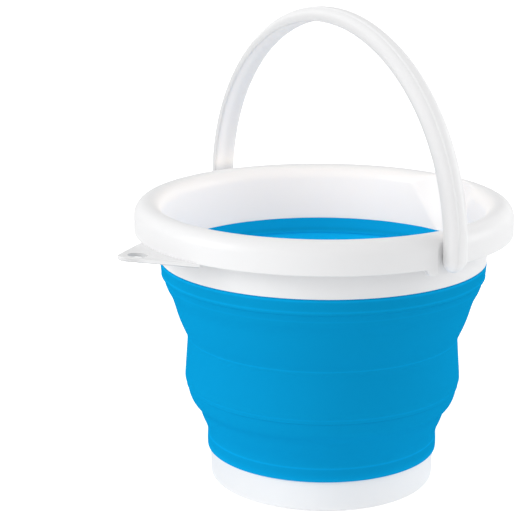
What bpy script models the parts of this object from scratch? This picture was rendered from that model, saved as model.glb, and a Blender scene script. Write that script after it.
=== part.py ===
"""Collapsible camp bucket: a stiff white rim frame and base cup joined by a blue folding bellows, and a bail.

Metres, +Z up. The origin is the middle of the flat underside. The pouring spout is on +X, the hanging tab on
-X, and the bail turns in two pads on +Y and -Y. The bellows is one moulding. It is modelled as the
three rings that keep their shape and the two webs that turn inside out when the bucket is pushed flat.
"""

import math

import bmesh
import bpy
from mathutils import Vector

# Fits
FIT_GAP = 0.0003  # between surfaces that touch, bond or meet
BAIL_GAP = 0.0006  # between the boss of the bail and the recess that it turns in
BAIL_CLEARANCE = 0.0003  # by which the bail's inner face passes the skirt
CUT_OVERRUN = 0.003  # how far every cutter passes through what it cuts
WELD = 0.00001

# Facets
RING_STEPS = 48
ROLL_STEPS = 12
ARCH_STEPS = 30
ROUND_STEPS = 24
CORNER_STEPS = 3

# Heights of the zones, stacked from the ground up
BASE_HEIGHT = 0.0270
LOWER_CUFF_HEIGHT = 0.0140
LOWER_WEB_HEIGHT = 0.0350
MIDDLE_RING_HEIGHT = 0.0480
UPPER_WEB_HEIGHT = 0.0500
UPPER_CUFF_HEIGHT = 0.0168
COLLAR_HEIGHT = 0.0492

# Rim frame: rolled rim, outer skirt, and the inner wall that runs down as a collar
RIM_OVERHANG = 0.0210  # how far the skirt stands outside the collar
ROLL_RADIUS = 0.0117
RIM_WALL = 0.0025
SKIRT_HEIGHT = 0.0253
SKIRT_EDGE_ROUND = 0.0007
COLLAR_RADIUS = 0.1360
COLLAR_WALL = 0.0036
COLLAR_REBATE = 0.0017  # the boundary with the bellows lies this much higher inside than outside

# Tongues of the stiff plastic that the bellows is moulded over
COLLAR_TONGUE_WALL = 0.0010
COLLAR_TONGUE_SETBACK = 0.0016
COLLAR_TONGUE_LENGTH = 0.0070
BASE_TONGUE_WALL = 0.0022
BASE_TONGUE_SETBACK = 0.0019
BASE_TONGUE_LENGTH = 0.0080
BASE_TONGUE_JOG = 0.0020  # how far below its root the inner face starts to step in

# Pivot pads: round like the skirt, reaching below its edge, with a soft recess for the foot of the bail
PAD_WIDTH = 0.0360
PAD_WALL = 0.0040  # behind the recess
PAD_SETBACK = 0.0002
PAD_DROP = 0.0053
PAD_HEIGHT = 0.0240
PAD_CORNER = 0.0028
RECESS_WIDTH = 0.0300
RECESS_DEPTH = 0.0022
RECESS_SHARES = ((0.68, 1.00), (0.77, 0.86), (0.86, 0.50), (0.94, 0.15), (1.00, 0.00))  # (half width, depth)
BORE_RADIUS = 0.0050
PIVOT_DEPTH = 0.0190  # from the rim's top down to the bail's axis
PIVOT_OFFSET = 0.0055  # from the middle of the bucket towards the spout

# Hanging tab
TAB_REACH = 0.0390  # from the skirt to the tip
TAB_TIP_RADIUS = 0.0090
TAB_HALF_ANGLE = math.radians(16.3)
TAB_WALL = 0.0033
TAB_OVERLAP = 0.0009  # how far the root rises into the skirt's lower edge
TAB_TILT = math.radians(4.7)
TAB_HOLE_RADIUS = 0.0077
TAB_HOLE_INSET = 0.0170  # from the tip to the middle of the hole
TAB_STEPS = 8

# Pouring spout: a widening channel pressed into the inner wall, with a backing of its own under the roll
SPOUT_DEPTH = 0.0115  # how far its valley lies outside the inner wall at the rim's top
SPOUT_RADIUS = 0.0640
SPOUT_FOOT_RADIUS = 0.0012
SPOUT_HEIGHT = 0.0480
SPOUT_WALL = 0.0022
SPOUT_STEPS = 48
SPOUT_OPENING_POWER = 0.45  # of the height that the radius grows with, so the channel opens fast at its foot
SPOUT_LEVEL_SHARES = (0.00, 0.04, 0.12, 0.27, 0.50, 0.75, 1.00)

# Bellows
BELLOWS_WALL = 0.0023
UPPER_HINGE_INSET = 0.0031  # from the collar's outer face in to the upper hinge line
UPPER_WAIST_RADIUS = 0.1136
BULGE_RADIUS = 0.1159
LOWER_HINGE_RADIUS = 0.1128
LOWER_WAIST_PROUD = 0.0018  # how far the lower waist stands outside the base cup
LOWER_CUFF_PROUD = 0.0023
EDGE_ROUND = 0.0006
CUFF_FLARE = 0.0008  # from the upper hinge line out to the foot of the step above it
CUFF_FLARE_HEIGHT = 0.0036
CUFF_STEP = 0.0012
CUFF_STEP_HEIGHT = 0.0016
BULGE_RISE = 0.0110  # from the lower hinge line up to the widest ring of the bulge
BULGE_STEP = 0.0007
BULGE_STEP_HEIGHT = 0.0028
LIP_WALL = 0.0014
LIP_DROP = 0.0028
LIP_CREST = 0.0033
LIP_GROOVE_FLOOR = 0.0014

# Outlines of the webs, from the hinge line down to the waist: (drop, step inwards, wall). The wall is thin
# along the two lines where the web rolls over when it turns inside out.
UPPER_WEB_SHARES = (
    (0.00, 0.00, 0.85),
    (0.10, 0.08, 0.55),
    (0.21, 0.22, 0.90),
    (0.33, 0.37, 1.00),
    (0.52, 0.52, 1.00),
    (0.72, 0.68, 1.00),
    (0.90, 0.87, 0.55),
    (1.00, 1.00, 0.85),
)
LOWER_WEB_SHARES = (
    (0.00, 0.00, 0.85),
    (0.10, 0.07, 0.55),
    (0.23, 0.20, 0.90),
    (0.37, 0.39, 1.00),
    (0.55, 0.57, 1.00),
    (0.75, 0.77, 1.00),
    (0.90, 0.91, 0.55),
    (1.00, 1.00, 0.85),
)
HINGE_WALL_SHARE = 0.85

# Outline of the middle ring, from the waist down to the bulge: (drop, step outwards)
RING_SHARES = ((0.00, 0.00), (0.35, 0.45), (0.80, 0.90), (1.00, 1.00))

# Base cup
BASE_RADIUS = 0.0951
BASE_DRAFT = 0.0005
BASE_WALL = 0.0025
FLOOR_WALL = 0.0025
FOOT_ROUND = 0.0040
FLOOR_ROUND = 0.0060

# Finger grip: an arched recess under the floor, seen inside as a hump
GRIP_INNER_RADIUS = 0.0520
GRIP_OUTER_RADIUS = 0.0800
GRIP_HALF_ANGLE = math.radians(40)
GRIP_HEIGHT = 0.0160  # above the floor
GRIP_WALL = 0.0022
GRIP_DRAFT = 0.0020
GRIP_STEPS = 10

# Bail
BAIL_WIDTH = 0.0212
BAIL_DEPTH = 0.0110
BAIL_LEG = 0.0058  # straight stretch between the pivot and the arch
BAIL_STRETCH = 0.0072  # how much higher the bail reaches above its pivot than half its span
BAIL_FADE = 0.0260  # length over which the rib and the hollow fade in above the pivot
RIB_RISE = 0.0009
HOLLOW_DEPTH = 0.0016
BOSS_RADIUS = 0.0085
PEG_CLEARANCE = 0.0003
PEG_ROOT = 0.0030  # how deep the pegs are rooted in the bail
PEG_HEAD_RADIUS = 0.0064
PEG_HEAD_RIM = 0.0009
PEG_HEAD_LENGTH = 0.0034
PEG_TIP_RADIUS = 0.0042

# Half of the bail's section, from its round outer face to the middle of its inner face: (sideways in half
# widths, outwards in depths, rise with the rib, sinking with the hollow)
BAIL_SECTION_SHARES = (
    (0.29, 0.97, 1.0, 0.0),
    (0.41, 0.93, 0.0, 0.0),
    (0.62, 0.83, 0.0, 0.0),
    (0.80, 0.68, 0.0, 0.0),
    (0.93, 0.48, 0.0, 0.0),
    (1.00, 0.17, 0.0, 0.0),
    (0.94, 0.03, 0.0, 0.0),
    (0.82, 0.00, 0.0, 0.0),
    (0.00, 0.00, 0.0, 1.0),
)
BAIL_END_SHARES = (0.97, 0.80, 0.50)  # stations of the rounded end, in half widths below the pivot

# Colours, as linear red, green and blue
WHITE = (0.86, 0.86, 0.88)
BLUE = (0.004, 0.30, 0.64)
STIFF_ROUGHNESS = 0.32
SOFT_ROUGHNESS = 0.45

# Levels and radii worked out from the sizes above
LOWER_WAIST = BASE_HEIGHT + LOWER_CUFF_HEIGHT
LOWER_HINGE = LOWER_WAIST + LOWER_WEB_HEIGHT
UPPER_WAIST = LOWER_HINGE + MIDDLE_RING_HEIGHT
UPPER_HINGE = UPPER_WAIST + UPPER_WEB_HEIGHT
COLLAR_EDGE = UPPER_HINGE + UPPER_CUFF_HEIGHT
RIM_TOP = COLLAR_EDGE + COLLAR_HEIGHT
RIM_RADIUS = COLLAR_RADIUS + RIM_OVERHANG
ROLL_MIDDLE = (RIM_RADIUS - ROLL_RADIUS, RIM_TOP - ROLL_RADIUS)
SKIRT_EDGE = RIM_TOP - SKIRT_HEIGHT
COLLAR_INNER = COLLAR_RADIUS - COLLAR_WALL
COLLAR_REBATE_EDGE = COLLAR_EDGE + COLLAR_REBATE
COLLAR_TONGUE_OUTER = COLLAR_RADIUS - COLLAR_TONGUE_SETBACK
COLLAR_TONGUE_INNER = COLLAR_TONGUE_OUTER - COLLAR_TONGUE_WALL
COLLAR_TONGUE_END = COLLAR_EDGE - COLLAR_TONGUE_LENGTH
BASE_TONGUE_OUTER = BASE_RADIUS - BASE_TONGUE_SETBACK
BASE_TONGUE_INNER = BASE_TONGUE_OUTER - BASE_TONGUE_WALL
BASE_TONGUE_END = BASE_HEIGHT + BASE_TONGUE_LENGTH
PIVOT_HEIGHT = RIM_TOP - PIVOT_DEPTH
UPPER_HINGE_RADIUS = COLLAR_RADIUS - UPPER_HINGE_INSET
LOWER_WAIST_RADIUS = BASE_RADIUS + LOWER_WAIST_PROUD
LOWER_CUFF_RADIUS = BASE_RADIUS + LOWER_CUFF_PROUD
PAD_BOTTOM = SKIRT_EDGE - PAD_DROP
PAD_FACE = RIM_RADIUS - RECESS_DEPTH
PAD_BACK = PAD_FACE - PAD_WALL
BAIL_INNER = RIM_RADIUS + BAIL_CLEARANCE
BAIL_ARCH_HEIGHT = BAIL_INNER + BAIL_STRETCH - BAIL_LEG


def new_collection(name):
    collection = bpy.data.collections.new(name)
    bpy.context.scene.collection.children.link(collection)
    return collection


def plastic(name, color, roughness):
    material = bpy.data.materials.new(name)
    material.use_nodes = True
    shader = material.node_tree.nodes["Principled BSDF"]
    shader.inputs["Base Color"].default_value = (*color, 1.0)
    shader.inputs["Roughness"].default_value = roughness
    shader.inputs["Metallic"].default_value = 0.0
    return material


def add_part(name, mesh, color, roughness):
    """One sub-part of the bucket, with a material of its own."""
    part = bpy.data.objects.new(name, mesh)
    mesh.materials.append(plastic(name + "_plastic", color, roughness))
    parts.objects.link(part)
    return part


def add_helper(name, mesh):
    """A solid that only joins or cuts another."""
    helper = bpy.data.objects.new(name, mesh)
    helper.hide_render = True
    helper.display_type = "WIRE"
    helpers.objects.link(helper)
    return helper


def combine(part, operation, helper):
    step = part.modifiers.new(operation.lower() + "_" + helper.name, "BOOLEAN")
    step.operation = operation
    step.solver = "EXACT"
    step.object = helper


def carry(name, place, carried):
    """An empty on a joint, at this (x, z) place, which carries what moves with it."""
    carrier = bpy.data.objects.new(name, None)
    carrier.location = (place[0], 0, place[1])
    parts.objects.link(carrier)
    bpy.context.view_layer.update()
    for thing in carried:
        thing.parent = carrier
        thing.matrix_parent_inverse = carrier.matrix_world.inverted()
    return carrier


def arc(middle, radius, start, end, steps):
    """Points of a round stretch from one angle to another, in degrees, both included."""
    turns = [math.radians(start + (end - start) * i / steps) for i in range(steps + 1)]
    return [(middle[0] + radius * math.cos(a), middle[1] + radius * math.sin(a)) for a in turns]


def outline_mesh(name, points, closed=True):
    """A bare outline of (radius, height) points, ready to be turned."""
    mesh = bpy.data.meshes.new(name)
    count = len(points)
    edges = [(i, (i + 1) % count) for i in range(count if closed else count - 1)]
    mesh.from_pydata([(radius, 0, height) for radius, height in points], edges, [])
    return mesh


def turn(part, steps=RING_STEPS):
    """Turns the part's outline round its own Z axis. Outlines run down their outer side."""
    screw = part.modifiers.new("turn", "SCREW")
    screw.axis = "Z"
    screw.angle = math.tau
    screw.steps = steps
    screw.render_steps = steps
    screw.use_merge_vertices = True
    screw.merge_threshold = WELD
    screw.use_smooth_shade = True
    return part


def finish_mesh(bm, name):
    mesh = bpy.data.meshes.new(name)
    bm.to_mesh(mesh)
    bm.free()
    return mesh


def loft_mesh(name, sections):
    """A closed skin over outlines that have the same number of points, capped at both ends."""
    bm = bmesh.new()
    rings = [[bm.verts.new(point) for point in section] for section in sections]
    for lower, upper in zip(rings, rings[1:]):
        for i in range(len(lower)):
            j = (i + 1) % len(lower)
            bm.faces.new((lower[i], lower[j], upper[j], upper[i]))
    bm.faces.new(reversed(rings[0]))
    bm.faces.new(rings[-1])
    bmesh.ops.recalc_face_normals(bm, faces=bm.faces)
    return finish_mesh(bm, name)


def cylinder_mesh(name, radius, length):
    bm = bmesh.new()
    bmesh.ops.create_cone(
        bm, cap_ends=True, segments=ROUND_STEPS, radius1=radius, radius2=radius, depth=length
    )
    return finish_mesh(bm, name)


def rim_outline():
    """Down the skirt, up inside it, under the roll, down the collar to its tongue, and up the inner wall."""
    return (
        arc(ROLL_MIDDLE, ROLL_RADIUS, 90, 0, ROLL_STEPS // 2)
        + [
            (RIM_RADIUS, SKIRT_EDGE + SKIRT_EDGE_ROUND),
            (RIM_RADIUS - SKIRT_EDGE_ROUND, SKIRT_EDGE),
            (RIM_RADIUS - RIM_WALL, SKIRT_EDGE),
        ]
        + arc(ROLL_MIDDLE, ROLL_RADIUS - RIM_WALL, 0, 180, ROLL_STEPS // 2)
        + [
            (COLLAR_RADIUS, COLLAR_EDGE),
            (COLLAR_TONGUE_OUTER, COLLAR_EDGE),
            (COLLAR_TONGUE_OUTER, COLLAR_TONGUE_END),
            (COLLAR_TONGUE_INNER, COLLAR_TONGUE_END),
            (COLLAR_TONGUE_INNER, COLLAR_REBATE_EDGE),
            (COLLAR_INNER, COLLAR_REBATE_EDGE),
        ]
        + arc(ROLL_MIDDLE, ROLL_RADIUS, 180, 90, ROLL_STEPS // 2)[:-1]
    )


def pad_mesh(name):
    """A block across the skirt on -Y, with chamfered lower corners."""
    half = PAD_WIDTH / 2
    top = PAD_BOTTOM + PAD_HEIGHT
    outline = (
        (-half, top),
        (-half, PAD_BOTTOM + PAD_CORNER),
        (-half + PAD_CORNER, PAD_BOTTOM),
        (half - PAD_CORNER, PAD_BOTTOM),
        (half, PAD_BOTTOM + PAD_CORNER),
        (half, top),
    )
    depths = (RIM_RADIUS + CUT_OVERRUN, PAD_BACK)
    return loft_mesh(name, [[(x, -depth, z) for x, z in outline] for depth in depths])


def pad_bound_outline():
    """The solid that gives the pads their round outer face, just behind that of the roll and the skirt."""
    bottom = PAD_BOTTOM - CUT_OVERRUN
    roll = arc(ROLL_MIDDLE, ROLL_RADIUS - PAD_SETBACK, 90, 0, ROLL_STEPS // 2)
    return [(0, roll[0][1]), *roll, (RIM_RADIUS - PAD_SETBACK, bottom), (0, bottom)]


def recess_mesh(name):
    """The cutter of the recess on -Y, with soft sides. It cuts the roll, the skirt and the pad alike."""
    half = RECESS_WIDTH / 2
    side = [(half * across, -RIM_RADIUS + RECESS_DEPTH * depth) for across, depth in RECESS_SHARES]
    side.append((half, -RIM_RADIUS - CUT_OVERRUN))
    outline = side + [(-x, y) for x, y in reversed(side)]
    return loft_mesh(name, [[(x, y, z) for x, y in outline] for z in (PAD_BOTTOM - CUT_OVERRUN, RIM_TOP)])


def tab_height(x):
    """Height of the tab's lower face, which rises away from the skirt."""
    return SKIRT_EDGE + TAB_OVERLAP - TAB_WALL - (x + RIM_RADIUS) * math.tan(TAB_TILT)


def tab_mesh(name):
    """A tilted plate on -X whose sides run tangent from the skirt to a round tip."""
    root = RIM_RADIUS - RIM_WALL / 2
    tip = Vector((TAB_TIP_RADIUS - TAB_REACH - RIM_RADIUS, 0))
    corner = Vector((-root * math.cos(TAB_HALF_ANGLE), root * math.sin(TAB_HALF_ANGLE)))
    away = corner - tip
    touch = math.degrees(math.atan2(away.y, away.x) + math.acos(TAB_TIP_RADIUS / away.length))
    half_root = math.degrees(TAB_HALF_ANGLE)
    outline = arc(tip, TAB_TIP_RADIUS, touch, 360 - touch, TAB_STEPS)
    outline += arc((0, 0), root, 180 + half_root, 180 - half_root, TAB_STEPS)
    return loft_mesh(
        name, [[(x, y, tab_height(x) + wall) for x, y in outline] for wall in (0, TAB_WALL)]
    )


def spout_section(share, grow):
    """A level circle of the spout at a share of its height. grow is how far it lies outside the channel."""
    radius = SPOUT_FOOT_RADIUS + (SPOUT_RADIUS - SPOUT_FOOT_RADIUS) * share**SPOUT_OPENING_POWER
    valley = COLLAR_INNER + SPOUT_DEPTH * share + SPOUT_FOOT_RADIUS * (1 - share)
    height = RIM_TOP - SPOUT_HEIGHT * (1 - share)
    turns = [math.tau * i / SPOUT_STEPS for i in range(SPOUT_STEPS)]
    reach = radius + grow
    return [(valley - radius + reach * math.cos(a), reach * math.sin(a), height) for a in turns]


def spout_mesh(name, grow):
    sections = [spout_section(share, grow) for share in SPOUT_LEVEL_SHARES]
    sections.append([(x, y, z + CUT_OVERRUN) for x, y, z in sections[-1]])
    return loft_mesh(name, sections)


def spout_room_outline():
    """The hollow between the collar and the skirt, reaching halfway into the walls that it joins."""
    bite = RIM_WALL / 2
    return arc(ROLL_MIDDLE, ROLL_RADIUS - bite, 180, 0, ROLL_STEPS) + [
        (RIM_RADIUS - RIM_WALL - bite, SKIRT_EDGE),
        (COLLAR_RADIUS - bite, COLLAR_REBATE_EDGE),
    ]


def make_rim_frame():
    part = turn(add_part("rim_frame", outline_mesh("rim_frame", rim_outline()), WHITE, STIFF_ROUGHNESS))
    tab = add_helper("tab", tab_mesh("tab"))
    hole_length = TAB_WALL + 2 * CUT_OVERRUN
    hole = add_helper("tab_hole", cylinder_mesh("tab_hole", TAB_HOLE_RADIUS, hole_length))
    hole.location.x = TAB_HOLE_INSET - TAB_REACH - RIM_RADIUS
    hole.location.z = tab_height(hole.location.x) + TAB_WALL / 2
    hole.rotation_euler.y = TAB_TILT
    combine(tab, "DIFFERENCE", hole)
    combine(part, "UNION", tab)
    backing = turn(add_helper("spout_backing", outline_mesh("spout_backing", spout_room_outline())))
    combine(backing, "INTERSECT", add_helper("spout_skin", spout_mesh("spout_skin", SPOUT_WALL)))
    combine(part, "UNION", backing)
    combine(part, "DIFFERENCE", add_helper("spout_channel", spout_mesh("spout_channel", 0)))
    bound = turn(add_helper("pad_bound", outline_mesh("pad_bound", pad_bound_outline(), False)))
    for side, name in ((-1, "near"), (1, "far")):
        pad = add_helper("pad_" + name, pad_mesh("pad_" + name))
        pad.rotation_euler.z = math.pi * (1 + side) / 2
        combine(pad, "INTERSECT", bound)
        recess = add_helper("recess_" + name, recess_mesh("recess_" + name))
        recess.rotation_euler.z = pad.rotation_euler.z
        recess.location.x = PIVOT_OFFSET
        bore_length = PAD_WALL + 2 * CUT_OVERRUN
        bore = add_helper("bore_" + name, cylinder_mesh("bore_" + name, BORE_RADIUS, bore_length))
        bore.location = (PIVOT_OFFSET, side * (PAD_FACE - PAD_WALL / 2), PIVOT_HEIGHT)
        bore.rotation_euler.x = math.pi / 2
        combine(part, "UNION", pad)
        combine(part, "DIFFERENCE", recess)
        combine(part, "DIFFERENCE", bore)
    return part


def walled(points):
    """The outline of a wall, from the (radius, height, wall share) points of its outer side."""
    outer = [(radius, height) for radius, height, share in points]
    inner = [(radius - BELLOWS_WALL * share, height) for radius, height, share in points]
    return outer + inner[::-1]


def web_outline(shares, top_radius, waist_radius, top, waist):
    """A cone with a gentle wave in it, from under the hinge line down to the waist."""
    return walled(
        [
            (top_radius + (waist_radius - top_radius) * inwards, top + (waist - top) * drop, wall)
            for drop, inwards, wall in shares
        ]
    )


def make_upper_cuff():
    """The band below the collar, moulded over the collar's tongue, with a small step above the hinge line."""
    top = COLLAR_EDGE - FIT_GAP
    foot_radius = UPPER_HINGE_RADIUS + CUFF_FLARE
    foot = UPPER_HINGE + CUFF_FLARE_HEIGHT
    inner_top = COLLAR_REBATE_EDGE - FIT_GAP
    groove_end = COLLAR_TONGUE_END - FIT_GAP
    outline = [
        (COLLAR_RADIUS - EDGE_ROUND, top),
        (COLLAR_RADIUS, top - EDGE_ROUND),
        (foot_radius + CUFF_STEP, foot + CUFF_STEP_HEIGHT),
        (foot_radius, foot),
        (UPPER_HINGE_RADIUS, UPPER_HINGE),
        (UPPER_HINGE_RADIUS - BELLOWS_WALL * HINGE_WALL_SHARE, UPPER_HINGE),
        (COLLAR_INNER, foot + CUFF_STEP_HEIGHT),
        (COLLAR_INNER, inner_top),
        (COLLAR_TONGUE_INNER - FIT_GAP, inner_top),
        (COLLAR_TONGUE_INNER - FIT_GAP, groove_end),
        (COLLAR_TONGUE_OUTER + FIT_GAP, groove_end),
        (COLLAR_TONGUE_OUTER + FIT_GAP, top),
    ]
    name = "bellows_upper_cuff"
    return turn(add_part(name, outline_mesh(name, outline), BLUE, SOFT_ROUGHNESS))


def make_upper_web():
    outline = web_outline(
        UPPER_WEB_SHARES, UPPER_HINGE_RADIUS, UPPER_WAIST_RADIUS, UPPER_HINGE - FIT_GAP, UPPER_WAIST
    )
    name = "bellows_upper_web"
    return turn(add_part(name, outline_mesh(name, outline), BLUE, SOFT_ROUGHNESS))


def make_middle_ring():
    """The wall between the webs, which widens downwards and steps in below the bulge."""
    bulge = LOWER_HINGE + BULGE_RISE
    top = UPPER_WAIST - FIT_GAP
    below_step = (BULGE_RADIUS - BULGE_STEP, bulge - BULGE_STEP_HEIGHT)
    points = []
    for drop, outwards in RING_SHARES:
        radius = UPPER_WAIST_RADIUS + (BULGE_RADIUS - UPPER_WAIST_RADIUS) * outwards
        wall = HINGE_WALL_SHARE if drop == 0 else 1
        points.append((radius, top + (bulge - top) * drop, wall))
    points.append((*below_step, 1))
    points.append(((below_step[0] + LOWER_HINGE_RADIUS) / 2, (below_step[1] + LOWER_HINGE) / 2, 1))
    points.append((LOWER_HINGE_RADIUS, LOWER_HINGE, HINGE_WALL_SHARE))
    name = "bellows_middle_ring"
    return turn(add_part(name, outline_mesh(name, walled(points)), BLUE, SOFT_ROUGHNESS))


def make_lower_web():
    outline = web_outline(
        LOWER_WEB_SHARES, LOWER_HINGE_RADIUS, LOWER_WAIST_RADIUS, LOWER_HINGE - FIT_GAP, LOWER_WAIST
    )
    name = "bellows_lower_web"
    return turn(add_part(name, outline_mesh(name, outline), BLUE, SOFT_ROUGHNESS))


def make_lower_cuff():
    """The band on the base cup. It wraps over the cup's tongue as a rounded lip with a groove behind it."""
    top = LOWER_WAIST - FIT_GAP
    bottom = BASE_HEIGHT + FIT_GAP
    tongue_outer = BASE_TONGUE_OUTER + FIT_GAP
    tongue_inner = BASE_TONGUE_INNER - FIT_GAP
    tongue_end = BASE_TONGUE_END + FIT_GAP
    lip_inner = tongue_inner - LIP_WALL
    crest = tongue_end + LIP_CREST
    wall_inner = LOWER_WAIST_RADIUS - BELLOWS_WALL * HINGE_WALL_SHARE
    groove = tongue_end + LIP_GROOVE_FLOOR
    outline = [
        (LOWER_WAIST_RADIUS, top),
        (LOWER_CUFF_RADIUS, top - LIP_CREST),
        (LOWER_CUFF_RADIUS, bottom + EDGE_ROUND),
        (LOWER_CUFF_RADIUS - EDGE_ROUND, bottom),
        (tongue_outer, bottom),
        (tongue_outer, tongue_end),
        (tongue_inner, tongue_end),
        (tongue_inner, BASE_TONGUE_END - LIP_DROP),
        (lip_inner, BASE_TONGUE_END - LIP_DROP),
        (lip_inner, crest - LIP_WALL),
        (tongue_inner, crest),
        (tongue_inner + LIP_WALL, crest - EDGE_ROUND),
        (wall_inner - LIP_WALL, groove),
        (wall_inner, groove + EDGE_ROUND),
        (wall_inner, top),
    ]
    name = "bellows_lower_cuff"
    return turn(add_part(name, outline_mesh(name, outline), BLUE, SOFT_ROUGHNESS))


def base_outline():
    """From the middle of the floor out, up inside the wall, over the tongue, and down to the ground."""
    inner = BASE_RADIUS - BASE_WALL
    floor_round = (inner - BASE_DRAFT - FLOOR_ROUND, FLOOR_WALL + FLOOR_ROUND)
    foot_round = (BASE_RADIUS - BASE_DRAFT - FOOT_ROUND, FOOT_ROUND)
    return (
        [(0, FLOOR_WALL)]
        + arc(floor_round, FLOOR_ROUND, 270, 360, CORNER_STEPS)
        + [
            (inner, BASE_HEIGHT - BASE_TONGUE_JOG),
            (BASE_TONGUE_INNER, BASE_HEIGHT + BASE_TONGUE_JOG),
            (BASE_TONGUE_INNER, BASE_TONGUE_END),
            (BASE_TONGUE_OUTER, BASE_TONGUE_END),
            (BASE_TONGUE_OUTER, BASE_HEIGHT),
            (BASE_RADIUS, BASE_HEIGHT),
        ]
        + arc(foot_round, FOOT_ROUND, 0, -90, CORNER_STEPS)
        + [(0, 0)]
    )


def grip_section(height, inset):
    """A level outline of the finger grip, drawn in on every side by inset."""
    half = math.degrees(GRIP_HALF_ANGLE - inset / GRIP_INNER_RADIUS)
    outer = arc((0, 0), GRIP_OUTER_RADIUS - inset, 180 - half, 180 + half, GRIP_STEPS)
    inner = arc((0, 0), GRIP_INNER_RADIUS + inset, 180 + half, 180 - half, GRIP_STEPS)
    return [(x, y, height) for x, y in outer + inner]


def make_base_cup():
    name = "base_cup"
    part = turn(add_part(name, outline_mesh(name, base_outline(), False), WHITE, STIFF_ROUGHNESS))
    top = FLOOR_WALL + GRIP_HEIGHT
    hump = [grip_section(FLOOR_WALL / 2, 0), grip_section(top, GRIP_DRAFT)]
    slope = GRIP_DRAFT / (top - FLOOR_WALL / 2)
    hollow = [
        grip_section(-CUT_OVERRUN, GRIP_WALL - slope * CUT_OVERRUN),
        grip_section(top - GRIP_WALL, GRIP_WALL + slope * (top - GRIP_WALL)),
    ]
    combine(part, "UNION", add_helper("grip_hump", loft_mesh("grip_hump", hump)))
    combine(part, "DIFFERENCE", add_helper("grip_hollow", loft_mesh("grip_hollow", hollow)))
    return part


def bail_section(place, outwards, size_share, detail_share):
    """One station of the bail: its section, facing outwards from this (y, z) place on its inner face."""
    half = []
    for sideways, outward, rib, hollow in BAIL_SECTION_SHARES:
        detail = (rib * RIB_RISE + hollow * HOLLOW_DEPTH) * detail_share
        half.append((sideways * size_share * BAIL_WIDTH / 2, outward * size_share * BAIL_DEPTH + detail))
    whole = half + [(-x, offset) for x, offset in half[-2::-1]]
    return [(x, place[0] + outwards[0] * offset, place[1] + outwards[1] * offset) for x, offset in whole]


def bail_stations():
    """Stations from the near leg's tip over the arch to the far leg's tip, heights from the pivot."""
    leg = []
    for share in BAIL_END_SHARES:
        place = (-BAIL_INNER, -share * BAIL_WIDTH / 2)
        leg.append(bail_section(place, (-1, 0), math.sqrt(1 - share**2), 0))
    leg.append(bail_section((-BAIL_INNER, 0), (-1, 0), 1, 0))
    arch = []
    for i in range(ARCH_STEPS + 1):
        angle = math.pi * i / ARCH_STEPS
        from_end = min(i, ARCH_STEPS - i) * math.pi / ARCH_STEPS * BAIL_INNER
        outwards = Vector((-math.cos(angle) * BAIL_ARCH_HEIGHT, math.sin(angle) * BAIL_INNER)).normalized()
        place = (-BAIL_INNER * math.cos(angle), BAIL_LEG + BAIL_ARCH_HEIGHT * math.sin(angle))
        arch.append(bail_section(place, outwards, 1, min(1, (BAIL_LEG + from_end) / BAIL_FADE)))
    far_leg = [[(x, -y, z) for x, y, z in section] for section in reversed(leg)]
    return leg + arch + far_leg


def peg_outline():
    """A snap peg on the bail's inner face: boss in the recess, shank, seat behind the pad, tapered head."""
    boss = BAIL_INNER - PAD_FACE - BAIL_GAP
    seat = BAIL_INNER - PAD_BACK + FIT_GAP
    shank = BORE_RADIUS - PEG_CLEARANCE
    return [
        (0, seat + PEG_HEAD_LENGTH),
        (PEG_TIP_RADIUS, seat + PEG_HEAD_LENGTH),
        (PEG_HEAD_RADIUS, seat + PEG_HEAD_RIM),
        (PEG_HEAD_RADIUS, seat),
        (shank, seat),
        (shank, boss),
        (BOSS_RADIUS, boss),
        (BOSS_RADIUS, -PEG_ROOT),
        (0, -PEG_ROOT),
    ]


def make_bail():
    """The bail and its two moulded pegs, with its origin on the pivot axis."""
    name = "bail_handle"
    part = add_part(name, loft_mesh(name, bail_stations()), WHITE, STIFF_ROUGHNESS)
    part.location = (PIVOT_OFFSET, 0, PIVOT_HEIGHT)
    for side, end in ((-1, "near"), (1, "far")):
        peg = add_helper("peg_" + end, outline_mesh("peg_" + end, peg_outline(), False))
        peg.location = (PIVOT_OFFSET, side * BAIL_INNER, PIVOT_HEIGHT)
        peg.rotation_euler.x = side * math.pi / 2
        combine(part, "UNION", turn(peg, ROUND_STEPS))
    return part


for thing in list(bpy.data.objects):
    bpy.data.objects.remove(thing, do_unlink=True)
parts = new_collection("collapsible_camp_bucket")
helpers = new_collection("cutters")

make_base_cup()
make_lower_cuff()
bail_pivot = carry("bail_pivot", (PIVOT_OFFSET, PIVOT_HEIGHT), [make_bail()])
rim_pieces = [make_rim_frame(), make_upper_cuff(), make_upper_web()]
rim_slide = carry("rim_slide", (0, UPPER_WAIST), [*rim_pieces, bail_pivot])
carry("ring_slide", (0, LOWER_WAIST), [make_middle_ring(), make_lower_web(), rim_slide])
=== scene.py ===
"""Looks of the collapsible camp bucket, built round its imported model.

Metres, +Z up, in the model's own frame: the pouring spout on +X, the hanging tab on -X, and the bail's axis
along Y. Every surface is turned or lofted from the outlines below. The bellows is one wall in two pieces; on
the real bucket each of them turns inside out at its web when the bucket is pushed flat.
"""

import math

import bmesh
import bpy
from mathutils import Matrix, Vector


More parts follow.
